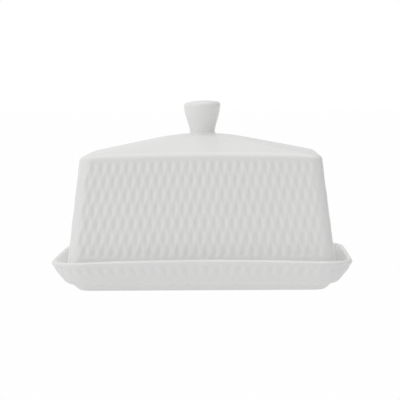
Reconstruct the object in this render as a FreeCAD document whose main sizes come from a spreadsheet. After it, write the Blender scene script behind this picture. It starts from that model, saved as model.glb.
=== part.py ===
"""Covered butter dish in glazed porcelain: a footed tray, a lift-off cover and the cover's knob.

Frame: millimetres, +Z up, +X along the dish's length. The origin is under the centre of the tray,
on the plane that its foot stands on.
"""
import FreeCAD, Part
import math
import os
import Sketcher

DIMENSIONS = (
    # Tray. Every outline of it is the rim's outline, moved inwards by that outline's inset.
    ("rim_length", 190.0, "tray length over the rim, along X"),
    ("rim_width", 117.5, "tray width over the rim, along Y"),
    ("rim_height", 20.2, "top of the tray's rim"),
    ("rim_corner", 21.0, "plan radius of the rim's corners"),
    ("rim_round", 1.3, "rounding of the rim's two top edges"),
    ("rim_wall", 3.3, "thickness of the tray's wall at the rim"),
    ("shoulder_height", 17.6, "height where the flare turns upright"),
    ("bowl_height", 13.0, "height of the flare's middle outline"),
    ("bowl_inset", 2.2, "inset of the flare's middle outline"),
    ("belly_height", 6.0, "height where the flare starts"),
    ("belly_inset", 8.4, "inset where the flare starts"),
    ("foot_height", 4.8, "height of the foot ring"),
    ("foot_top_inset", 12.6, "inset of the foot where it joins the underside"),
    ("foot_inset", 16.8, "inset of the foot where it stands"),
    ("foot_corner", 8.0, "plan radius of the foot's corners"),
    ("foot_wall", 4.2, "width of the foot ring"),
    ("recess_height", 5.4, "depth of the hollow inside the foot ring"),
    ("floor_height", 10.5, "height of the tray's flat floor"),
    ("floor_inset", 8.0, "inset of the floor's edge"),
    ("well_height", 18.0, "height where the inner wall turns upright"),
    # Cover.
    ("seat_gap", 0.2, "space under the cover's edge where it sits on the floor"),
    ("base_length", 171.2, "cover length at its lower edge"),
    ("base_width", 98.7, "cover width at its lower edge"),
    ("eave_length", 153.1, "cover length at the top of the walls"),
    ("eave_width", 80.6, "cover width at the top of the walls"),
    ("eave_height", 86.0, "height where the rounded eave turns into the roof"),
    ("cover_corner", 6.7, "plan radius of the cover's upright corners"),
    ("cover_wall", 4.0, "thickness of the cover's walls and roof"),
    ("eave_round", 2.2, "rounding of the edge between wall and roof"),
    ("base_round", 0.8, "bevel of the cover's lower outer edge"),
    ("peak_length", 32.8, "length of the flat at the top of the roof"),
    ("peak_width", 17.6, "width of the flat at the top of the roof"),
    ("peak_height", 97.6, "top of the roof, where the knob stands"),
    # Knob.
    ("neck_radius", 8.2, "radius of the knob where it meets the roof"),
    ("neck_height", 2.4, "height of the straight neck"),
    ("knob_radius", 11.9, "radius of the knob at the top of its cone"),
    ("knob_height", 21.5, "height of the knob above the roof"),
    ("knob_edge", 2.4, "rounding of the knob's top edge"),
    ("crown_radius", 50.0, "radius of the knob's gently domed top"),
)

EAVE_TURNS = (0, 30, 60, 90)  # degrees round the eave, from the wall to the roof


def make_sheet(document):
    """Keep the driving dimensions in a sheet: name, value and meaning, one row each."""
    sheet = document.addObject("Spreadsheet::Sheet", "Sizes")
    for row, (alias, value, meaning) in enumerate(DIMENSIONS, start=1):
        sheet.set(f"A{row}", alias)
        sheet.set(f"B{row}", str(value))
        sheet.set(f"C{row}", meaning)
        sheet.setAlias(f"B{row}", alias)
    document.recompute()
    return sheet


def origin_plane(body, role):
    """Return one of the body's own origin planes."""
    return next(item for item in body.Origin.OriginFeatures if item.Role == role)


def new_sketch(body, name, role, height=None):
    """Add a sketch on an origin plane, lifted by the expression height where one is given."""
    sketch = body.newObject("Sketcher::SketchObject", name)
    sketch.AttachmentSupport = (origin_plane(body, role), [""])
    sketch.MapMode = "FlatFace"
    if height:
        sketch.setExpression("AttachmentOffset.Base.z", height)
    return sketch


def dimension(sketch, name, expression, kind, *points):
    """Add a named dimension of the given kind and bind it to an expression."""
    value = sketch.evalExpression(expression)
    index = sketch.addConstraint(Sketcher.Constraint(kind, *points, value))
    sketch.renameConstraint(index, name)
    sketch.setExpression(f"Constraints.{name}", expression)


def rounded_rectangle(body, name, height, length, width, radius):
    """Draw a rounded rectangle centred on the Z axis; the last four are expressions."""
    sketch = new_sketch(body, name, "XY_Plane", height)
    half_x = sketch.evalExpression(length) / 2
    half_y = sketch.evalExpression(width) / 2
    corner = sketch.evalExpression(radius)
    normal = FreeCAD.Vector(0, 0, 1)
    for quarter, (side_x, side_y) in enumerate(((1, -1), (1, 1), (-1, 1), (-1, -1))):
        centre = FreeCAD.Vector(side_x * (half_x - corner), side_y * (half_y - corner), 0)
        start = (quarter - 1) * math.pi / 2
        circle = Part.Circle(centre, normal, corner)
        sketch.addGeometry(Part.ArcOfCircle(circle, start, start + math.pi / 2), False)
    for quarter in range(4):
        start = sketch.getPoint(quarter, 2)
        end = sketch.getPoint((quarter + 1) % 4, 1)
        sketch.addGeometry(Part.LineSegment(start, end), False)
    for quarter in range(4):
        side = quarter + 4
        sketch.addConstraint(Sketcher.Constraint("Tangent", quarter, 2, side, 1))
        sketch.addConstraint(Sketcher.Constraint("Tangent", side, 2, (quarter + 1) % 4, 1))
        upright = "Vertical" if quarter % 2 == 0 else "Horizontal"
        sketch.addConstraint(Sketcher.Constraint(upright, side))
    for quarter in range(3):
        sketch.addConstraint(Sketcher.Constraint("Equal", quarter, quarter + 1))
    sketch.addConstraint(Sketcher.Constraint("Symmetric", 0, 3, 2, 3, -1, 1))
    dimension(sketch, "corner", radius, "Radius", 0)
    dimension(sketch, "length", length, "DistanceX", 6, 1, 4, 1)
    dimension(sketch, "width", width, "DistanceY", 7, 1, 5, 1)
    return sketch


def loft(body, kind, name, outlines):
    """Join outlines with straight walls: each is (height, length, width, corner) expressions."""
    sketches = [
        rounded_rectangle(body, f"{name}Outline{number}", *outline)
        for number, outline in enumerate(outlines, start=1)
    ]
    feature = body.newObject(f"PartDesign::{kind}", name)
    feature.Profile = sketches[0]
    feature.Sections = sketches[1:]
    feature.Ruled = True
    return feature


def fillet_level_edges(body, name, height, radius):
    """Round every level edge that lies at the height; both are expressions."""
    body.Document.recompute()
    base = body.Tip
    level = base.evalExpression(height)
    names = [
        f"Edge{number}"
        for number, edge in enumerate(base.Shape.Edges, start=1)
        if abs(edge.BoundBox.ZMin - level) < 0.01 and abs(edge.BoundBox.ZMax - level) < 0.01
    ]
    feature = body.newObject("PartDesign::Fillet", name)
    feature.Base = (base, names)
    feature.setExpression("Radius", radius)
    return feature


def inset_outline(height, inset, corner):
    """Return a tray outline: the rim's rectangle moved inwards by inset."""
    return (
        height,
        f"Sizes.rim_length - 2 * ({inset})",
        f"Sizes.rim_width - 2 * ({inset})",
        corner,
    )


def make_tray(document):
    """Tray: foot ring, flared wall and flat floor, with a hollow under the floor."""
    body = document.addObject("PartDesign::Body", "Tray")
    body.Label = "tray"
    outside = [
        inset_outline("0 * Sizes.foot_height", "Sizes.foot_inset", "Sizes.foot_corner"),
        inset_outline("Sizes.foot_height", "Sizes.foot_top_inset", "Sizes.foot_corner"),
        inset_outline("Sizes.belly_height", "Sizes.belly_inset", "Sizes.rim_corner - Sizes.belly_inset"),
        inset_outline("Sizes.bowl_height", "Sizes.bowl_inset", "Sizes.rim_corner - Sizes.bowl_inset"),
        inset_outline("Sizes.shoulder_height", "0", "Sizes.rim_corner"),
        inset_outline("Sizes.rim_height", "0", "Sizes.rim_corner"),
    ]
    loft(body, "AdditiveLoft", "Outside", outside)
    well = [
        inset_outline("Sizes.floor_height", "Sizes.floor_inset", "Sizes.rim_corner - Sizes.floor_inset"),
        inset_outline("Sizes.well_height", "Sizes.rim_wall", "Sizes.rim_corner - Sizes.rim_wall"),
        inset_outline("Sizes.rim_height", "Sizes.rim_wall", "Sizes.rim_corner - Sizes.rim_wall"),
    ]
    loft(body, "SubtractiveLoft", "Well", well)
    ring_inset = "Sizes.foot_inset + Sizes.foot_wall"
    ring_corner = "Sizes.foot_corner - Sizes.foot_wall"
    recess = [
        inset_outline("0 * Sizes.foot_height", ring_inset, ring_corner),
        inset_outline("Sizes.recess_height", f"{ring_inset} + 1", ring_corner),
    ]
    loft(body, "SubtractiveLoft", "FootRecess", recess)
    fillet_level_edges(body, "RimRounding", "Sizes.rim_height", "Sizes.rim_round")
    return body


def cover_outline(height, level, inset, corner):
    """Return a cover outline: the level's rectangle (base, eave or peak) moved inwards by inset."""
    return (
        height,
        f"Sizes.{level}_length - 2 * ({inset})",
        f"Sizes.{level}_width - 2 * ({inset})",
        corner,
    )


def make_cover(document):
    """Cover: four leaning walls and a low hipped roof, open below, of even thickness."""
    body = document.addObject("PartDesign::Body", "Cover")
    body.Label = "cover"
    base_height = "Sizes.floor_height + Sizes.seat_gap"
    outside = [
        cover_outline(base_height, "base", "Sizes.base_round", "Sizes.cover_corner"),
        cover_outline(f"{base_height} + Sizes.base_round", "base", "0", "Sizes.cover_corner"),
    ]
    for turn in EAVE_TURNS:
        inset = f"Sizes.eave_round * (1 - cos({turn}))"
        height = f"Sizes.eave_height - Sizes.eave_round * (1 - sin({turn}))"
        outside.append(cover_outline(height, "eave", inset, f"Sizes.cover_corner - {inset}"))
    outside.append(cover_outline("Sizes.peak_height", "peak", "0", "Sizes.cover_corner"))
    loft(body, "AdditiveLoft", "Outside", outside)
    wall = "Sizes.cover_wall"
    inner_corner = f"Sizes.cover_corner - {wall}"
    inside = [
        cover_outline(base_height, "base", wall, inner_corner),
        cover_outline(f"Sizes.eave_height - {wall}", "eave", wall, inner_corner),
        cover_outline(f"Sizes.peak_height - {wall}", "peak", wall, inner_corner),
    ]
    loft(body, "SubtractiveLoft", "Inside", inside)
    return body


def make_knob(document):
    """Knob: a short neck that widens in a cone to a gently domed top, turned about Z."""
    body = document.addObject("PartDesign::Body", "Knob")
    body.Label = "knob"
    sketch = new_sketch(body, "KnobProfile", "XZ_Plane")
    base = sketch.evalExpression("Sizes.peak_height")
    neck = sketch.evalExpression("Sizes.neck_radius")
    shoulder = base + sketch.evalExpression("Sizes.neck_height")
    widest = sketch.evalExpression("Sizes.knob_radius")
    top = base + sketch.evalExpression("Sizes.knob_height")
    edge = sketch.evalExpression("Sizes.knob_edge")
    crown = sketch.evalExpression("Sizes.crown_radius")
    normal = FreeCAD.Vector(0, 0, 1)
    flank_top = FreeCAD.Vector(widest, top - 1.5 * edge, 0)
    flank_lean = math.atan2(widest - neck, flank_top.y - shoulder)
    edge_end = math.pi / 2 - widest / crown
    edge_circle = Part.Circle(FreeCAD.Vector(widest - edge, top - 1.5 * edge, 0), normal, edge)
    crown_circle = Part.Circle(FreeCAD.Vector(0, top - crown, 0), normal, crown)
    points = [
        FreeCAD.Vector(0, base, 0),
        FreeCAD.Vector(neck, base, 0),
        FreeCAD.Vector(neck, shoulder, 0),
        flank_top,
    ]
    for start, end in zip(points, points[1:]):
        sketch.addGeometry(Part.LineSegment(start, end), False)
    sketch.addGeometry(Part.ArcOfCircle(edge_circle, -flank_lean, edge_end), False)
    sketch.addGeometry(Part.ArcOfCircle(crown_circle, edge_end, math.pi / 2), False)
    sketch.addGeometry(Part.LineSegment(FreeCAD.Vector(0, top, 0), points[0]), False)
    for joint in (
        ("Coincident", 0, 2, 1, 1),
        ("Coincident", 1, 2, 2, 1),
        ("Tangent", 2, 2, 3, 1),
        ("Tangent", 3, 2, 4, 1),
        ("Coincident", 4, 2, 5, 1),
        ("Coincident", 5, 2, 0, 1),
        ("Horizontal", 0),
        ("Vertical", 1),
        ("Vertical", 5),
        ("PointOnObject", 0, 1, -2),
        ("PointOnObject", 4, 3, -2),
    ):
        sketch.addConstraint(Sketcher.Constraint(*joint))
    dimension(sketch, "base", "Sizes.peak_height", "DistanceY", -1, 1, 0, 1)
    dimension(sketch, "neck", "Sizes.neck_radius", "DistanceX", 0, 1, 0, 2)
    dimension(sketch, "neckheight", "Sizes.neck_height", "DistanceY", 1, 1, 1, 2)
    dimension(sketch, "widest", "Sizes.knob_radius", "DistanceX", -1, 1, 2, 2)
    dimension(sketch, "rounding", "Sizes.knob_edge", "Radius", 3)
    dimension(sketch, "crown", "Sizes.crown_radius", "Radius", 4)
    dimension(sketch, "rise", "Sizes.knob_height", "DistanceY", 0, 1, 4, 2)
    turned = body.newObject("PartDesign::Revolution", "Turned")
    turned.Profile = sketch
    turned.ReferenceAxis = (sketch, ["V_Axis"])
    turned.Angle = 360
    return body


def check_document(document, bodies):
    """Stop if any object failed to compute or any piece isn't one valid solid."""
    for item in document.Objects:
        if "Invalid" in item.State or "Error" in item.State:
            raise RuntimeError(f"{item.Name} failed: {item.State}")
    for body in bodies:
        shape = body.Shape
        if shape.isNull() or not shape.isValid() or len(shape.Solids) != 1:
            raise RuntimeError(f"{body.Label} is not one valid solid")


def main():
    document = FreeCAD.newDocument("ButterDish")
    make_sheet(document)
    bodies = [make_tray(document), make_cover(document), make_knob(document)]
    document.recompute()
    check_document(document, bodies)
    os.makedirs("parts", exist_ok=True)
    for body in bodies:
        body.Shape.exportStep(f"parts/{body.Label}.step")
        box = body.Shape.BoundBox
        print(
            f"{body.Label}: {body.Shape.Volume / 1000:.1f} cm3,"
            f" {box.XLength:.1f} x {box.YLength:.1f} x {box.ZLength:.1f} mm,"
            f" z {box.ZMin:.2f} to {box.ZMax:.2f}"
        )


main()
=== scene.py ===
import math

import bpy
import numpy as np
from mathutils import Matrix, Vector


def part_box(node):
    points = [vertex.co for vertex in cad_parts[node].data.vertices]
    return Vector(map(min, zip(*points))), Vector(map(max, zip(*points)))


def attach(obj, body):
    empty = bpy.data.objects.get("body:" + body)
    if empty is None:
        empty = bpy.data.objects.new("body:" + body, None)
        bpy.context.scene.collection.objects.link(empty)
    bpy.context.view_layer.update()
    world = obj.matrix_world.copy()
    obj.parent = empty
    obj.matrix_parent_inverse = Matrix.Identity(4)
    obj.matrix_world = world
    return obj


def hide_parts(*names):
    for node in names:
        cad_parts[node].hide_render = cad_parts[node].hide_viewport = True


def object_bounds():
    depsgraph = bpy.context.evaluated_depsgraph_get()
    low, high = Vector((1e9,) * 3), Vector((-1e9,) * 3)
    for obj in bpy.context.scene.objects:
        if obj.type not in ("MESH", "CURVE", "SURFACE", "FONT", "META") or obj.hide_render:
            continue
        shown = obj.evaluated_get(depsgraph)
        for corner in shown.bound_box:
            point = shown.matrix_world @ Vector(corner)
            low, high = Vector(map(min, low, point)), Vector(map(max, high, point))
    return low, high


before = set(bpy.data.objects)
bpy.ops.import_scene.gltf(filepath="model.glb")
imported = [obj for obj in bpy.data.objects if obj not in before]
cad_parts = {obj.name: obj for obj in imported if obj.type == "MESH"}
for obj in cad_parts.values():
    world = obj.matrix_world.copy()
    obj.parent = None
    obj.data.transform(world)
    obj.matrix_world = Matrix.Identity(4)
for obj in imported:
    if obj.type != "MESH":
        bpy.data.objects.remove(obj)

cad_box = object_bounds()

MM = 0.001

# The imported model's own sizes.
TRAY_HIGH = np.array(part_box("tray")[1])
COVER_LOW, COVER_HIGH = (np.array(corner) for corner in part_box("cover"))
KNOB_HIGH = np.array(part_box("knob")[1])

# Relief: columns of lozenges on each face, counted from the middle of one corner to the next.
LONG_COLUMNS = 28
SHORT_COLUMNS = 15
ALL_COLUMNS = 2 * (LONG_COLUMNS + SHORT_COLUMNS)
HALF_ROW = 8.87 * MM
COLUMN_SHIFT = 0.13
RIDGE_EDGE = 0.04
LEVEL_RIDGES = 0.4
RELIEF_DEPTH = 0.56 * MM

# Mesh steps in a column of lozenges, from plain surfaces to the relief, and in half a row.
COARSE_STEPS = 3
MIDDLE_STEPS = 6
RELIEF_STEPS = 12
HALF_ROW_STEPS = 6

# A surface ends at a small ring round its pole, at this share of its size.
POLE = 0.03

# Cover, with heights measured as the frame has them.
COVER_BASE = COVER_LOW[2]
COVER_LEAN = 0.119
COVER_CORNER = 8.2 * MM
LEAST_CORNER = 1.5 * MM
COVER_WALL = 4.0 * MM
LOWER_EDGE = 1.0 * MM
EAVE_HEIGHT = 86.3 * MM
EAVE_ROUND = 2.8 * MM
ROOF_SLOPE = 0.1862
ROOF_PEAK = 97.95 * MM
ROOF_ROUNDNESS = 0.70
COVER_SAG = 1.65 * MM
FIRST_ROW = 78.6 * MM
RELIEF_START = 83.5 * MM
RELIEF_FULL = 81.8 * MM
RELIEF_BOTTOM = 22.2 * MM
BOTTOM_FADE = 1.6 * MM
CORNER_RELIEF = 0.35
LID_ASIDE = -0.2 * MM

# Tray: the rim, which stands highest midway along a side, and the relief on the flare, which fades
# over these lengths of the flare.
RIM_CORNER = 23.0 * MM
RIM_TOP = 21.4 * MM
RIM_SAG = 2.35 * MM
LIP = 1.65 * MM
END_BOW = 0.6 * MM
TRAY_LONG_COLUMNS = 27
TRAY_SHIFT = 0.31
TRAY_RELIEF = 2.1
TRAY_ROW = 14.9 * MM
FLARE_FADE_IN = (0.2 * MM, 1.6 * MM)
FLARE_FADE_OUT = 5.0 * MM

# Tray's section: how far in from the rim's outline and how high above the foot, in millimetres.
FLOOR_EDGE = (9.2, 10.5)
BOWL_BEND = (7.5, 10.5)
BOWL_LEAN = 0.42
FLARE_LEAN = math.atan(0.42)
FLARE_BEND = (3.0, 12.26)
FLARE_END = (8.2, 6.38)
STEP_BEND = (9.6, 5.0)
STEP_END = (11.4, 4.6)
FOOT_BEND = (13.1, 4.2)
FOOT_SIDE = (14.2, 3.0)
FOOT_TURN = (15.6, 1.4)
FOOT_LOW = (16.3, 0.7)
WELL_START = (21.1, 3.8)
WELL_BEND = (21.4, 5.4)
WELL_EDGE = (23.4, 5.4)

# Corner radii of the tray's floor, of the well under it and, at least, of the foot's side. The foot
# ring's corners share one centre, this many millimetres in from the rim.
FLOOR_CORNER = 12.0 * MM
WELL_CORNER = 3.6 * MM
FOOT_CORNER = 8.0 * MM
FOOT_CORNER_INSET = 24.8

# The foot ring's bare underside: inset and height in millimetres, and how bare of glaze.
FOOT_RING = (
    (16.7, 0.25, 0.0),
    (17.1, 0.04, 0.8),
    (17.6, 0.0, 1.0),
    (20.2, 0.0, 1.0),
    (20.7, 0.04, 0.8),
    (21.0, 0.35, 0.0),
)

# Knob: its section's bends as radius and height in millimetres, and how it stands.
KNOB_NECK = 8.1 * MM
KNOB_WIDEST = 11.85 * MM
KNOB_EDGE = 2.4 * MM
KNOB_CROWN = 50 * MM
KNOB_FILLET = 1.3 * MM
KNOB_SHOULDER = 114.9
SHOULDER_BEND = (11.35, 110.6)
KNOB_MIDDLE = (9.5, 105.0)
NECK_BEND = (8.5, 101.7)
NECK_RISE = 1.05 * MM
KNOB_STEPS = 96
KNOB_TILT = 0.035
KNOB_ASIDE = 0.25 * MM

# Glaze and body.
PORCELAIN = (0.955, 0.955, 0.947)
PORCELAIN_SHADE = (0.940, 0.940, 0.930)
POOLED_GLAZE = (0.942, 0.946, 0.940)
BISQUE = (0.72, 0.69, 0.63)
GLAZE_ROUGHNESS = 0.20
BISQUE_ROUGHNESS = 0.72
COAT = 0.35
COAT_ROUGHNESS = 0.08
GLAZE_IOR = 1.52
SURFACE_WAVE = 0.12 * MM

# Soft lights: degrees from the front round to the right, degrees above level, narrowness, strength.
SOFT_LIGHTS = {
    "front left": (-50, 15, 8, 1.05),
    "high right": (60, 65, 8, 0.90),
    "overhead": (0, 90, 10, 0.58),
    "back left": (-125, 5, 6, 0.50),
    "back": (180, 5, 4, 0.55),
}
EVEN_LIGHT = 0.06

# Floor: its own glow, how white it is to the camera, its half width in metres and its two greys.
FLOOR_GLOW = 0.56
FLOOR_WHITE = 0.97
FLOOR_REACH = 6.0
FLOOR_SHADES = ((0.18, 0.18, 0.18), (0.22, 0.22, 0.22))

# Camera: angles in degrees, and where it aims, sideways and as a share of the whole height.
CAMERA_TURN = 1.59
CAMERA_TILT = 4.83
CAMERA_ROLL = -0.53
CAMERA_DISTANCE = 0.900
CAMERA_LENS = 123.0
AIM_ASIDE = -1.7 * MM
AIM_HEIGHT = 0.451


def smooth_step(low, high, value):
    """Return 0 below low, 1 above high, and an even S-curve between them."""
    share = np.clip((value - low) / (high - low), 0.0, 1.0)
    return share * share * (3.0 - 2.0 * share)


def bezier(start, control, end, count):
    """Return count points of the curve from start to end that leaves and arrives along control."""
    share = np.linspace(0.0, 1.0, count)[:, None]
    start, control, end = (np.array(point, float) for point in (start, control, end))
    return (1 - share) ** 2 * start + 2 * share * (1 - share) * control + share**2 * end


def outline(column, half_x, half_y, corner):
    """Return the points and outward normals of rounded rectangles, one for each column coordinate.

    Columns run anticlockwise from the middle of the front. Each face reaches from the middle of one
    corner to the middle of the next and holds its whole number of columns. A point lies at its
    column's share of the face's length, along the straight stretch and then round the corner's arc.
    """
    column = (column + LONG_COLUMNS / 2) % ALL_COLUMNS
    half_turn = LONG_COLUMNS + SHORT_COLUMNS
    behind = column >= half_turn
    column = np.where(behind, column - half_turn, column)
    short = column >= LONG_COLUMNS
    share = np.where(short, (column - LONG_COLUMNS) / SHORT_COLUMNS, column / LONG_COLUMNS) - 0.5
    straight = np.where(short, half_y, half_x) - corner
    reach = np.where(short, half_x, half_y) - corner
    distance = 2 * share * (straight + corner * math.pi / 4)
    turn = np.maximum(np.abs(distance) - straight, 0.0) / corner
    side = np.sign(distance)
    along = side * (np.minimum(np.abs(distance), straight) + corner * np.sin(turn))
    out = reach + corner * np.cos(turn)
    normal_along = side * np.sin(turn)
    normal_out = np.cos(turn)
    flip = np.where(behind, -1.0, 1.0)
    x = flip * np.where(short, out, along)
    y = flip * np.where(short, along, -out)
    normal_x = flip * np.where(short, normal_out, normal_along)
    normal_y = flip * np.where(short, normal_along, -normal_out)
    return x, y, normal_x, normal_y


def lozenge_hollows(column, row):
    """Return how deep each point lies in a field of lozenge hollows, from 0 on a ridge to 1.

    A lozenge is one column wide and two half rows tall, and every other half row of them is moved
    by half a column, so they cover the field. Across each of the two diagonals the depth is a raised
    cosine, made wider at its bottom. The hollow is mostly their product, which keeps the ridges
    level, and partly their mean, which lets the ridges dip between crossings.
    """
    depths = []
    for diagonal in (column + row / 2, column - row / 2):
        wave = np.cos(2 * math.pi * diagonal)
        depths.append((1 + wave) / 2 + RIDGE_EDGE * (1 - wave * wave))
    first, second = depths
    return LEVEL_RIDGES * first * second + (1 - LEVEL_RIDGES) * (first + second) / 2


def ring_count(ring):
    """Return how many points a ring has."""
    return ring["points"].shape[0]


def make_ring(points, pool=0.0, bare=0.0, lift=0.0):
    """Gather one closed ring of points with its glaze values, each one number or one per point."""
    count = points.shape[0]
    return {
        "points": points,
        "pool": np.broadcast_to(np.asarray(pool, float), (count,)),
        "bare": np.broadcast_to(np.asarray(bare, float), (count,)),
        "lift": np.broadcast_to(np.asarray(lift, float), (count,)),
    }


def strip_faces(upper, lower, upper_start, lower_start):
    """Return triangles between two rings, which have equal counts or one twice the other's.

    Between equal rings each square is cut along the diagonal that stands higher, so a ridge that
    runs across the squares stays whole.
    """
    many, few = ring_count(upper), ring_count(lower)
    if many == few:
        here = np.arange(many)
        after = (here + 1) % many
        a, b = upper_start + here, upper_start + after
        c, d = lower_start + after, lower_start + here
        rising = upper["lift"][after] + lower["lift"][here]
        falling = upper["lift"][here] + lower["lift"][after]
        cut = (rising > falling)[:, None]
        first = np.where(cut, np.stack([a, d, b], 1), np.stack([a, d, c], 1))
        second = np.where(cut, np.stack([b, d, c], 1), np.stack([a, c, b], 1))
        return np.concatenate([first, second])
    if many == 2 * few:
        here = np.arange(few)
        after = (here + 1) % few
        a, b, c = (upper_start + (2 * here + step) % many for step in range(3))
        d, e = lower_start + here, lower_start + after
        return np.concatenate([
            np.stack([a, d, b], 1),
            np.stack([b, d, e], 1),
            np.stack([b, e, c], 1),
        ])
    flipped = strip_faces(lower, upper, lower_start, upper_start)
    return flipped[:, ::-1]


def shell(name, rings, shift=(0.0, 0.0, 0.0)):
    """Make a closed mesh from rings that run from an upper pole round to the last pole."""
    points = np.concatenate([ring["points"] for ring in rings])
    starts = np.cumsum([0] + [ring_count(ring) for ring in rings])
    poles = np.stack([rings[0]["points"].mean(0), rings[-1]["points"].mean(0)])
    faces = [
        strip_faces(rings[k], rings[k + 1], starts[k], starts[k + 1])
        for k in range(len(rings) - 1)
    ]
    for pole, ring_number, order in ((0, 0, 1), (1, len(rings) - 1, -1)):
        count = ring_count(rings[ring_number])
        here = starts[ring_number] + np.arange(count)
        after = starts[ring_number] + (np.arange(count) + 1) % count
        centre = np.full(count, len(points) + pole)
        faces.append(np.stack([centre, here, after], 1)[:, ::order])
    faces = np.concatenate(faces)
    points = np.concatenate([points, poles]) + np.array(shift)
    a, b, c = (points[faces[:, k]] for k in range(3))
    if np.einsum("ij,ij->i", a, np.cross(b, c)).sum() < 0:
        faces = faces[:, ::-1]
    mesh = bpy.data.meshes.new(name)
    mesh.vertices.add(len(points))
    mesh.vertices.foreach_set("co", points.astype(np.float32).ravel())
    mesh.loops.add(faces.size)
    mesh.loops.foreach_set("vertex_index", faces.astype(np.int32).ravel())
    mesh.polygons.add(len(faces))
    mesh.polygons.foreach_set("loop_start", np.arange(0, faces.size, 3, dtype=np.int32))
    mesh.update(calc_edges=True)
    mesh.polygons.foreach_set("use_smooth", np.ones(len(faces), bool))
    for key in ("pool", "bare"):
        ends = [rings[0][key].mean(), rings[-1][key].mean()]
        values = np.concatenate([ring[key] for ring in rings] + [ends])
        layer = mesh.attributes.new(key, "FLOAT", "POINT")
        layer.data.foreach_set("value", values.astype(np.float32))
    mesh.validate()
    piece = bpy.data.objects.new(name, mesh)
    bpy.context.scene.collection.objects.link(piece)
    return piece


def columns(steps):
    """Return the column coordinates of a ring with the given number of steps in each column."""
    return np.arange(int(ALL_COLUMNS * steps)) / steps


# ---------------------------------------------------------------- cover


def cover_halves(height):
    """Return the cover's half length and half width over its leaning walls at a height."""
    drop = COVER_LEAN * (height - COVER_BASE)
    return COVER_HIGH[0] - drop, COVER_HIGH[1] - drop


EAVE_X, EAVE_Y = cover_halves(EAVE_HEIGHT)
ROOF_LEVEL = EAVE_HEIGHT + ROOF_SLOPE * EAVE_X
ROOF_BEND = 2 * (ROOF_LEVEL - ROOF_PEAK) / ROOF_SLOPE


def roof_height(share):
    """Return the roof's height at a share of the way out from its peak to the eave.

    It is a straight slope up from the eave that turns into a parabola near the peak, without a crease.
    """
    distance = share * EAVE_X
    slope = ROOF_LEVEL - ROOF_SLOPE * distance
    dome = ROOF_PEAK - ROOF_SLOPE / (2 * ROOF_BEND) * distance**2
    return np.where(distance > ROOF_BEND, slope, dome)


def cover_sag(x, height):
    """Return how far the cover's ends hang below its middle: with height, and x squared."""
    share = np.clip((height - COVER_BASE) / (EAVE_HEIGHT - COVER_BASE), 0.0, 1.0)
    return COVER_SAG * share * (x / EAVE_X) ** 2


def wall_ring(column, height, inset=0.0, relief=False, bare=0.0):
    """Return a ring of the cover's wall, moved inwards by inset and hollowed by the relief.

    The relief fades in below the eave and out near the lower edge, and is shallower round a corner.
    """
    half_x, half_y = cover_halves(height)
    corner = max(COVER_CORNER - inset, LEAST_CORNER)
    x, y, normal_x, normal_y = outline(column, half_x - inset, half_y - inset, corner)
    depth = np.zeros_like(x)
    if relief:
        row = (FIRST_ROW - height) / HALF_ROW
        field = smooth_step(RELIEF_START, RELIEF_FULL, height)
        field = field * smooth_step(RELIEF_BOTTOM - BOTTOM_FADE, RELIEF_BOTTOM + BOTTOM_FADE, height)
        on_corner = 2 * np.abs(normal_x * normal_y)
        strength = 1.0 - (1.0 - CORNER_RELIEF) * smooth_step(0.0, 0.8, on_corner)
        depth = lozenge_hollows(column + 0.5 - COLUMN_SHIFT, row) * field * strength
    level = math.hypot(1.0, COVER_LEAN)
    x = x - depth * RELIEF_DEPTH * normal_x / level
    y = y - depth * RELIEF_DEPTH * normal_y / level
    z = height - depth * RELIEF_DEPTH * COVER_LEAN / level - cover_sag(x, height)
    return make_ring(np.stack([x, y, z], 1), pool=depth, bare=bare, lift=-depth)


def roof_points(column, share, inset=0.0, drop=0.0):
    """Return a ring of the roof: the eave's outline shrunk by share, with ever rounder corners."""
    half_x = (EAVE_X - inset) * share
    half_y = (EAVE_Y - inset) * share
    corner = (COVER_CORNER - inset) * share + half_y * ROOF_ROUNDNESS * (1 - share)
    x, y, _, _ = outline(column, half_x, half_y, min(corner, 0.98 * half_y))
    z = roof_height(share) - drop - cover_sag(x, EAVE_HEIGHT)
    return np.stack([x, y, z], 1)


def eave_rings(column, count):
    """Return rings round the eave: curves from the wall to the roof that bend at the sharp edge."""
    wall = wall_ring(column, EAVE_HEIGHT - EAVE_ROUND)["points"]
    edge = roof_points(column, 1.0)
    roof = roof_points(column, 1.0 - EAVE_ROUND / EAVE_Y)
    rings = []
    for share in np.linspace(1.0, 0.0, count):
        points = (1 - share) ** 2 * wall + 2 * share * (1 - share) * edge + share**2 * roof
        rings.append(make_ring(points))
    return rings


def relief_heights():
    """Return the heights of the relief's rings: even steps of its rows, then a few over its last fade."""
    row_step = HALF_ROW / HALF_ROW_STEPS
    steps_above = math.floor((EAVE_HEIGHT - EAVE_ROUND - FIRST_ROW) / HALF_ROW * HALF_ROW_STEPS)
    steps_below = math.ceil((FIRST_ROW - RELIEF_BOTTOM) / HALF_ROW * HALF_ROW_STEPS)
    even = FIRST_ROW - np.arange(-steps_above, steps_below + 1) * row_step
    fade = RELIEF_BOTTOM + np.array([1.6, 1.0, 0.4, -0.2, -0.8, -1.6]) * MM
    clear_of_fade = even > fade[0] + 0.3 * MM
    return np.sort(np.concatenate([even[clear_of_fade], fade]))[::-1]


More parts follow.
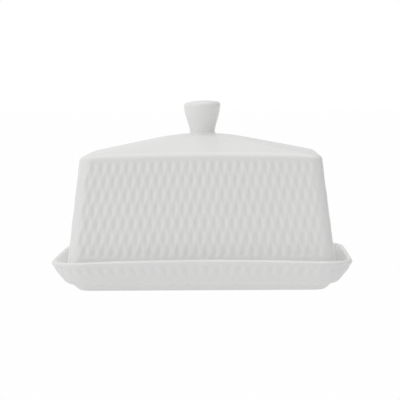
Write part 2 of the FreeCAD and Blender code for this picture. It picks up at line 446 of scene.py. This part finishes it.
def lower_edge_rings(column):
    """Return rings round the cover's lower edge: a quarter circle, the flat it stands on, another."""
    rings = []
    for turn in np.radians([30, 60, 90]):
        inset = LOWER_EDGE * (1 - math.cos(turn))
        height = COVER_BASE + LOWER_EDGE * (1 - math.sin(turn))
        rings.append(wall_ring(column, height, inset, bare=float(turn > math.pi / 4)))
    rings.append(wall_ring(column, COVER_BASE, COVER_WALL - LOWER_EDGE, bare=1.0))
    for turn in np.radians([60, 30, 0]):
        inset = COVER_WALL - LOWER_EDGE * (1 - math.cos(turn))
        height = COVER_BASE + LOWER_EDGE * (1 - math.sin(turn))
        rings.append(wall_ring(column, height, inset, bare=float(turn > math.pi / 4)))
    return rings


def make_cover():
    """Cover: a shell from the roof's peak down the relief wall, round the edge and up inside."""
    coarse, middle, fine = columns(COARSE_STEPS), columns(MIDDLE_STEPS), columns(RELIEF_STEPS)
    rings = [make_ring(roof_points(coarse, share)) for share in np.linspace(POLE, 0.90, 22)]
    rings += eave_rings(middle, 9)
    heights = relief_heights()
    rings += [wall_ring(fine, height, relief=True) for height in heights]
    plain_heights = np.linspace(heights[-1] - 1 * MM, COVER_BASE + LOWER_EDGE, 6)
    rings += [wall_ring(middle, height) for height in plain_heights]
    rings += lower_edge_rings(coarse)
    inner_heights = np.linspace(COVER_BASE + 4 * MM, EAVE_HEIGHT - COVER_WALL - 3 * MM, 12)
    rings += [wall_ring(coarse, height, COVER_WALL) for height in inner_heights]
    rings += [
        make_ring(roof_points(coarse, share, inset=COVER_WALL, drop=COVER_WALL))
        for share in np.linspace(1 - POLE, POLE, 14)
    ]
    return shell("cover_shell", rings, (LID_ASIDE, 0.0, 0.0))


# ---------------------------------------------------------------- tray


def tray_ring(column, inset, height, corner=None, depth=None, normal=(0.0, 0.0), bare=0.0):
    """Return a ring of the tray: the rim's outline moved inwards, with its ends hanging and bowed.

    The hang grows with height and with x squared, and the bow with height and towards the middle of
    an end. A relief depth moves each point inwards along the section's normal.
    """
    if corner is None:
        corner = RIM_CORNER - inset
    x, y, normal_x, normal_y = outline(column, TRAY_HIGH[0] - inset, TRAY_HIGH[1] - inset, corner)
    pool = 0.0
    if depth is not None:
        pool = depth
        x = x - depth * RELIEF_DEPTH * normal[0] * normal_x
        y = y - depth * RELIEF_DEPTH * normal[0] * normal_y
        height = height - depth * RELIEF_DEPTH * normal[1]
    risen = np.clip(height / RIM_TOP, 0.0, 1.0)
    z = height - RIM_SAG * risen * (x / TRAY_HIGH[0]) ** 2
    x = x * (1.0 + END_BOW / TRAY_HIGH[0] * (1.0 - (y / TRAY_HIGH[1]) ** 2) * risen)
    return make_ring(np.stack([x, y, z], 1), pool=pool, bare=bare, lift=-np.asarray(pool))


def tray_columns(column):
    """Return the tray's own column count round its outline: one fewer than the cover on a long face."""
    faces = np.cumsum([0, LONG_COLUMNS, SHORT_COLUMNS, LONG_COLUMNS, SHORT_COLUMNS])
    counts = np.cumsum([0, TRAY_LONG_COLUMNS, SHORT_COLUMNS, TRAY_LONG_COLUMNS, SHORT_COLUMNS])
    along = (column + LONG_COLUMNS / 2) % ALL_COLUMNS
    return np.interp(along, faces, counts) - TRAY_LONG_COLUMNS / 2


def flat_ring(column, half_x, half_y, corner, height):
    """Return a ring of a level surface: one rounded rectangle at one height."""
    x, y, _, _ = outline(column, half_x, half_y, corner)
    return make_ring(np.stack([x, y, np.full_like(x, height)], 1))


def flare_rings(column, flare_top):
    """Return rings down the flare, hollowed by the relief along the flare's own normals.

    The flare is a curve from flare_top to FLARE_END, and rows of lozenges are measured along it.
    """
    flare = bezier(flare_top, FLARE_BEND, FLARE_END, 37) * MM
    steps = np.hypot(*np.diff(flare, axis=0).T)
    length = np.concatenate([[0.0], np.cumsum(steps)])
    row_start = np.interp(-TRAY_ROW, -flare[:, 1], length)
    direction = np.gradient(flare, length, axis=0)
    normals = np.stack([-direction[:, 1], direction[:, 0]], 1)
    rings = []
    for (inset, height), distance, normal in zip(flare[1:], length[1:], normals[1:]):
        field = smooth_step(*FLARE_FADE_IN, distance)
        field = field * smooth_step(length[-1], length[-1] - FLARE_FADE_OUT, distance)
        row = (distance - row_start) / HALF_ROW
        depth = TRAY_RELIEF * field * lozenge_hollows(tray_columns(column) + TRAY_SHIFT, row)
        rings.append(tray_ring(column, inset, height, depth=depth, normal=(normal[0], normal[1])))
    return rings


def foot_rings(outer, inner):
    """Return rings from the flare's end round the foot and up into the well under the floor."""
    rings = []
    side = np.concatenate([
        bezier(FLARE_END, STEP_BEND, STEP_END, 6)[1:],
        bezier(STEP_END, FOOT_BEND, FOOT_SIDE, 6)[1:],
        bezier(FOOT_SIDE, FOOT_TURN, FOOT_LOW, 4)[1:],
    ]) * MM
    for inset, height in side:
        rings.append(tray_ring(outer, inset, height, corner=max(RIM_CORNER - inset, FOOT_CORNER)))
    for inset, height, bare in FOOT_RING:
        corner = (FOOT_CORNER_INSET - inset) * MM
        rings.append(tray_ring(inner, inset * MM, height * MM, corner=corner, bare=bare))
    for inset, height in bezier(WELL_START, WELL_BEND, WELL_EDGE, 5) * MM:
        rings.append(tray_ring(inner, inset, height, corner=WELL_CORNER))
    return rings


def make_tray():
    """Tray: a shell from the middle of the floor out over the lip, down the flare and under the foot."""
    coarse, middle, fine = columns(COARSE_STEPS), columns(MIDDLE_STEPS), columns(RELIEF_STEPS)
    long_half, short_half = TRAY_HIGH[0], TRAY_HIGH[1]
    floor_inset, floor_height = np.array(FLOOR_EDGE) * MM
    rings = []
    for share in np.linspace(POLE, 1.0, 12)[:-1]:
        half_x = (long_half - floor_inset) * share
        half_y = (short_half - floor_inset) * share
        rings.append(flat_ring(coarse, half_x, half_y, FLOOR_CORNER * share, floor_height))
    lip_height = RIM_TOP - LIP
    bowl_end = np.array([LIP + LIP * math.cos(BOWL_LEAN), lip_height + LIP * math.sin(BOWL_LEAN)])
    for inset, height in bezier(FLOOR_EDGE, BOWL_BEND, bowl_end / MM, 14)[:-1] * MM:
        rings.append(tray_ring(coarse, inset, height))
    for turn in np.linspace(math.pi - BOWL_LEAN, -FLARE_LEAN, 12):
        rings.append(tray_ring(middle, LIP - LIP * math.cos(turn), lip_height + LIP * math.sin(turn)))
    flare_top = np.array([LIP - LIP * math.cos(FLARE_LEAN), lip_height - LIP * math.sin(FLARE_LEAN)])
    rings += flare_rings(fine, flare_top / MM)
    rings += foot_rings(middle, coarse)
    well_inset, well_height = np.array(WELL_EDGE) * MM
    for share in np.linspace(0.94, POLE, 9):
        half_x = share * (long_half - well_inset)
        half_y = share * (short_half - well_inset)
        rings.append(flat_ring(coarse, half_x, half_y, WELL_CORNER * share, well_height))
    return shell("tray_shell", rings)


# ---------------------------------------------------------------- knob


def roof_at(x, y):
    """Return the cover's roof height at a point near its peak."""
    share = np.maximum(np.abs(x) / EAVE_X, np.abs(y) / EAVE_Y)
    return roof_height(np.hypot(x / EAVE_X, y / EAVE_Y) * 0.5 + share * 0.5) - cover_sag(x, EAVE_HEIGHT)


def knob_profile(top, neck_height):
    """Return the knob's section as radii and heights: a domed top, a rounded edge and an S-curve."""
    rim = KNOB_WIDEST - KNOB_EDGE
    crown_end = top - rim**2 / (2 * KNOB_CROWN)
    crown_turn = 0.18
    profile = []
    for share in np.linspace(0.05, 1.0, 8)[:-1]:
        radius = share * rim
        profile.append((radius, top - radius**2 / (2 * KNOB_CROWN)))
    for turn in np.linspace(math.pi / 2 - crown_turn, 0.0, 9):
        edge_height = crown_end - KNOB_EDGE + KNOB_EDGE * math.sin(turn)
        profile.append((rim + KNOB_EDGE * math.cos(turn), edge_height))
    side = np.concatenate([
        bezier((KNOB_WIDEST / MM, KNOB_SHOULDER), SHOULDER_BEND, KNOB_MIDDLE, 12)[1:],
        bezier(KNOB_MIDDLE, NECK_BEND, (KNOB_NECK / MM, neck_height / MM), 12)[1:],
    ]) * MM
    return profile + [(radius, height) for radius, height in side]


def make_knob():
    """Knob: the section turned round, with a fillet onto the roof, closed a little inside the roof."""
    turn = np.linspace(0.0, 2 * math.pi, KNOB_STEPS, endpoint=False)
    top = KNOB_HIGH[2]
    neck_height = ROOF_PEAK + NECK_RISE
    skin = 0.05 * MM
    buried = 0.4 * MM
    rings = []
    for radius, height in knob_profile(top, neck_height):
        x, y = radius * np.cos(turn), radius * np.sin(turn)
        lean = KNOB_TILT * smooth_step(neck_height, top, height)
        rings.append(make_ring(np.stack([x, y, height + lean * x], 1)))
    for share in (0.0, 0.1, 0.3, 0.6, 1.0):
        radius = KNOB_NECK + share * KNOB_FILLET
        x, y = radius * np.cos(turn), radius * np.sin(turn)
        lift = KNOB_FILLET * (1 - math.sqrt(1 - (1 - share) ** 2)) - skin
        rings.append(make_ring(np.stack([x, y, roof_at(x, y) + lift], 1), pool=0.8 * (share > 0)))
    for radius in (7.5 * MM, 3 * MM, 1 * MM):
        x, y = radius * np.cos(turn), radius * np.sin(turn)
        rings.append(make_ring(np.stack([x, y, roof_at(x, y) - buried], 1)))
    return shell("knob_turned", rings, (KNOB_ASIDE, 0.0, 0.0))


# ---------------------------------------------------------------- materials


class Signal:
    """A number that a shader works out: the usual operators add Math nodes to its tree."""

    def __init__(self, tree, socket):
        self.tree = tree
        self.socket = socket

    def math(self, operation, *others):
        return node(self.tree, "ShaderNodeMath", {"operation": operation}, [self, *others])

    def __add__(self, other):
        return self.math("ADD", other)

    def __sub__(self, other):
        return self.math("SUBTRACT", other)

    def __rsub__(self, other):
        return node(self.tree, "ShaderNodeMath", {"operation": "SUBTRACT"}, [other, self])

    def __mul__(self, other):
        return self.math("MULTIPLY", other)

    __radd__ = __add__
    __rmul__ = __mul__


def node(tree, kind, settings, inputs, output=0):
    """Add a node: its settings first, then its inputs, by place or by name; return one output."""
    made = tree.nodes.new(kind)
    for key, value in settings.items():
        setattr(made, key, value)
    pairs = inputs.items() if isinstance(inputs, dict) else enumerate(inputs)
    for key, value in pairs:
        if isinstance(value, Signal):
            tree.links.new(value.socket, made.inputs[key])
        else:
            made.inputs[key].default_value = value
    return Signal(tree, made.outputs[output]) if len(made.outputs) else None


def noise(tree, place, scale, detail=2.0, roughness=0.5):
    """Return even noise about 0.5 in object space, with the given number of lumps in a metre."""
    inputs = {"Vector": place, "Scale": scale, "Detail": detail, "Roughness": roughness}
    return node(tree, "ShaderNodeTexNoise", {}, inputs)


def mix_colour(tree, share, first, second):
    """Return the colour a share of the way from first to second."""
    made = tree.nodes.new("ShaderNodeMix")
    made.data_type = "RGBA"
    tree.links.new(share.socket, made.inputs[0])
    for place, colour in ((6, first), (7, second)):
        if isinstance(colour, Signal):
            tree.links.new(colour.socket, made.inputs[place])
        else:
            made.inputs[place].default_value = (*colour, 1.0)
    return Signal(tree, made.outputs[2])


def glazed_porcelain(name):
    """White porcelain under a clear glaze, which pools in hollows, and bare where it stands.

    The body varies a little in tone. The glaze has a faint orange peel over a slow wave, and the bare
    body a fine grain.
    """
    material = bpy.data.materials.new(name)
    material.use_nodes = True
    tree = material.node_tree
    shader = tree.nodes["Principled BSDF"]
    place = node(tree, "ShaderNodeTexCoord", {}, [], output=3)
    pool = node(tree, "ShaderNodeAttribute", {"attribute_name": "pool"}, [], output=2)
    bare = node(tree, "ShaderNodeAttribute", {"attribute_name": "bare"}, [], output=2)
    clouds = noise(tree, place, 30.0, detail=3.0)
    mottle = noise(tree, place, 260.0, detail=3.0, roughness=0.6)
    grain = noise(tree, place, 2600.0, detail=2.0)
    peel = noise(tree, place, 520.0, detail=2.0)
    wave = noise(tree, place, 70.0, detail=1.0)

    tone = (clouds * 0.7 + mottle * 0.3).math("MULTIPLY_ADD", 2.2, -0.6)
    tone = tone.math("MINIMUM", 1.0).math("MAXIMUM", 0.0)
    body = mix_colour(tree, tone, PORCELAIN_SHADE, PORCELAIN)
    glazed = mix_colour(tree, pool * 0.55, body, POOLED_GLAZE)
    colour = mix_colour(tree, bare, glazed, BISQUE)
    tree.links.new(colour.socket, shader.inputs["Base Color"])

    glaze_roughness = mottle * 0.10 + GLAZE_ROUGHNESS - pool * 0.03
    roughness = glaze_roughness * (1.0 - bare) + bare * BISQUE_ROUGHNESS
    tree.links.new(roughness.socket, shader.inputs["Roughness"])
    coat = (1.0 - bare) * COAT
    tree.links.new(coat.socket, shader.inputs["Coat Weight"])
    shader.inputs["Coat Roughness"].default_value = COAT_ROUGHNESS
    shader.inputs["IOR"].default_value = GLAZE_IOR

    height = peel * 0.16 * (1.0 - bare) + wave * 0.9 + grain * 0.12 * bare
    inputs = {"Strength": 1.0, "Distance": SURFACE_WAVE, "Height": height}
    bump = node(tree, "ShaderNodeBump", {}, inputs)
    tree.links.new(bump.socket, shader.inputs["Normal"])
    return material


# ---------------------------------------------------------------- studio


def pale_floor(height):
    """A wide pale floor under the dish. It glows softly, and is almost pure white to the camera."""
    mesh = bpy.data.meshes.new("floor")
    signs = ((-1, -1), (1, -1), (1, 1), (-1, 1))
    corners = [(FLOOR_REACH * across, FLOOR_REACH * along, height) for across, along in signs]
    mesh.from_pydata(corners, [], [(0, 1, 2, 3)])
    floor = bpy.data.objects.new("floor", mesh)
    bpy.context.scene.collection.objects.link(floor)
    material = bpy.data.materials.new("pale_floor")
    material.use_nodes = True
    tree = material.node_tree
    shader = tree.nodes["Principled BSDF"]
    place = node(tree, "ShaderNodeTexCoord", {}, [], output=3)
    grain = noise(tree, place, 40.0, detail=2.0)
    colour = mix_colour(tree, grain, *FLOOR_SHADES)
    tree.links.new(colour.socket, shader.inputs["Base Color"])
    shader.inputs["Roughness"].default_value = 0.9
    shader.inputs["Specular IOR Level"].default_value = 0.1
    seen = node(tree, "ShaderNodeLightPath", {}, [], output=0)
    glow = node(tree, "ShaderNodeEmission", {}, {"Strength": 1.0})
    surface = Signal(tree, shader.outputs[0])
    mixed = node(tree, "ShaderNodeMixShader", {}, [seen * FLOOR_WHITE, surface, glow])
    tree.links.new(mixed.socket, tree.nodes["Material Output"].inputs[0])
    shader.inputs["Emission Color"].default_value = (1.0, 1.0, 1.0, 1.0)
    shader.inputs["Emission Strength"].default_value = FLOOR_GLOW
    mesh.materials.append(material)


def studio_world():
    """Surroundings that are white to the camera and light the dish by an even glow and soft lights.

    A soft light's brightness is half of one plus the cosine from its own direction, to a power.
    """
    world = bpy.data.worlds.new("studio")
    world.use_nodes = True
    tree = world.node_tree
    tree.nodes.clear()
    way = node(tree, "ShaderNodeTexCoord", {}, [], output=0)
    glow = None
    for turn, rise, narrowness, strength in SOFT_LIGHTS.values():
        turn, rise = math.radians(turn), math.radians(rise)
        level = math.cos(rise)
        towards = (math.sin(turn) * level, -math.cos(turn) * level, math.sin(rise))
        cosine = node(tree, "ShaderNodeVectorMath", {"operation": "DOT_PRODUCT"}, [way, towards], output=1)
        half = cosine.math("MULTIPLY_ADD", 0.5, 0.5).math("MAXIMUM", 0.0)
        light = half.math("POWER", narrowness) * strength
        glow = light if glow is None else glow + light
    glow = glow + EVEN_LIGHT
    seen = node(tree, "ShaderNodeLightPath", {}, [], output=0)
    lit = node(tree, "ShaderNodeBackground", {}, {"Color": (1, 1, 1, 1), "Strength": glow})
    white = node(tree, "ShaderNodeBackground", {}, {"Color": (1, 1, 1, 1), "Strength": 1.0})
    mixed = node(tree, "ShaderNodeMixShader", {}, [seen, lit, white])
    node(tree, "ShaderNodeOutputWorld", {}, [mixed])
    bpy.context.scene.world = world


def set_camera():
    """A long lens a little above the dish and slightly to its right, rolled a touch on its axis."""
    turn, tilt, roll = (math.radians(angle) for angle in (CAMERA_TURN, CAMERA_TILT, CAMERA_ROLL))
    aim = Vector((AIM_ASIDE, 0.0, AIM_HEIGHT * KNOB_HIGH[2]))
    across, ahead = -math.sin(turn) * math.cos(tilt), math.cos(turn) * math.cos(tilt)
    forward = Vector((across, ahead, -math.sin(tilt)))
    level = Vector((math.cos(turn), math.sin(turn), 0.0))
    upright = level.cross(forward)
    right = math.cos(roll) * level + math.sin(roll) * upright
    up = -math.sin(roll) * level + math.cos(roll) * upright
    data = bpy.data.cameras.new("camera")
    data.sensor_width = 36.0
    data.lens = CAMERA_LENS
    camera = bpy.data.objects.new("camera", data)
    place = aim - CAMERA_DISTANCE * forward
    frame_axes = Matrix((right, up, -forward)).transposed().to_4x4()
    camera.matrix_world = Matrix.Translation(place) @ frame_axes
    bpy.context.scene.collection.objects.link(camera)
    bpy.context.scene.camera = camera


# ---------------------------------------------------------------- making

set_camera()

cover_glaze = glazed_porcelain("cover_porcelain")
tray_glaze = glazed_porcelain("tray_porcelain")

tray = make_tray()
tray.data.materials.append(tray_glaze)
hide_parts("tray")
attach(tray, "tray")

cover = make_cover()
cover.data.materials.append(cover_glaze)
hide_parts("cover")
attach(cover, "lid")

knob = make_knob()
knob.data.materials.append(cover_glaze)
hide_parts("knob")
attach(knob, "lid")

pale_floor(cad_box[0][2])
studio_world()
bpy.context.scene.view_settings.view_transform = "Standard"
